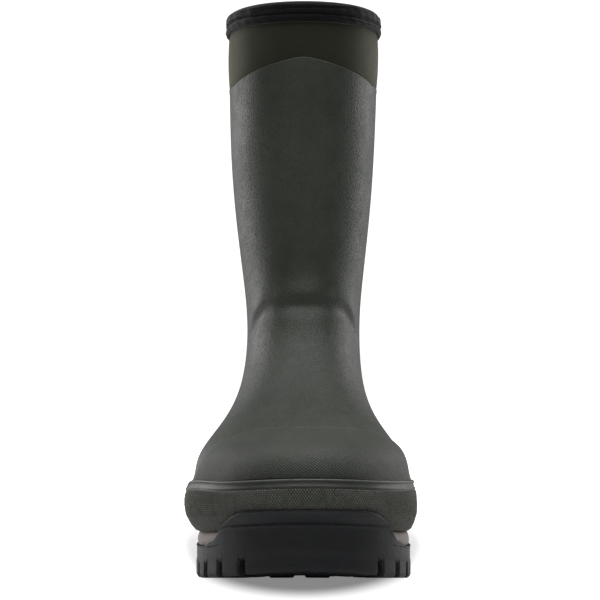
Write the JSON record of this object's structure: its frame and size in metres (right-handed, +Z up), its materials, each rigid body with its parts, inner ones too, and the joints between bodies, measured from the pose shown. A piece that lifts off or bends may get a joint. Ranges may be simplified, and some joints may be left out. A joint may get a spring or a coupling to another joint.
{
  "type": "insulated rubber boot",
  "caption": "Tall insulated pull-on boot, right foot: ribbed sole, textured rubber foot and shaft over a thick lined sleeve, open at the top.",
  "frame": {"origin": "middle of the footprint's box, on the ground", "axes": "+Z up, toe towards -Y, outer side of the foot towards -X"},
  "size_m": [0.1334, 0.3212, 0.3452],
  "materials": {
    "sole_rubber": "satin black moulded rubber",
    "midsole_foam": "matt taupe foam",
    "shank_steel": "plain strip steel",
    "board": "fibre board",
    "foil": "thin reflecting foil",
    "footbed_foam": "open foam",
    "fleece": "short pile fleece",
    "neoprene": "closed cell foam rubber",
    "stiffener": "thermoformed sheet",
    "boot_rubber": "dark olive, fine pebble grain",
    "cap_rubber": "dark olive, fine diamond grain",
    "rand_rubber": "dark olive, knurled",
    "collar_cloth": "olive stretch cloth",
    "binding_cloth": "black soft tape",
    "thread": "black thread"
  },
  "bodies": {
    "foot": {"outsole": "sole_rubber", "midsole": "midsole_foam", "shank": "shank_steel", "insole_board": "board", "thermal_foil": "foil", "footbed": "footbed_foam", "footbed_cover": "fleece", "foot_sock": "neoprene", "foot_lining": "fleece", "toe_puff": "stiffener", "heel_counter": "stiffener", "foot_rubber": "boot_rubber", "toe_cap": "cap_rubber", "rand": "rand_rubber", "heel_patch": "cap_rubber", "ankle_sock": "neoprene", "ankle_lining": "fleece", "ankle_rubber": "boot_rubber"},
    "shaft": {"leg_sleeve": "neoprene", "leg_lining": "fleece", "shaft_rubber": "boot_rubber", "collar_facing": "collar_cloth", "top_binding": "binding_cloth", "binding_stitch": "thread"}
  },
  "joints": [
    {"name": "ankle_flex", "type": "hinge", "parent": "foot", "child": "shaft", "pos_m": [0, 0.073, 0.142], "axis": [1, 0, 0], "range_deg": [-8, 15], "stiffness_Nm_per_rad": 12, "deforming": ["ankle_sock", "ankle_lining", "ankle_rubber"]}
  ]
}
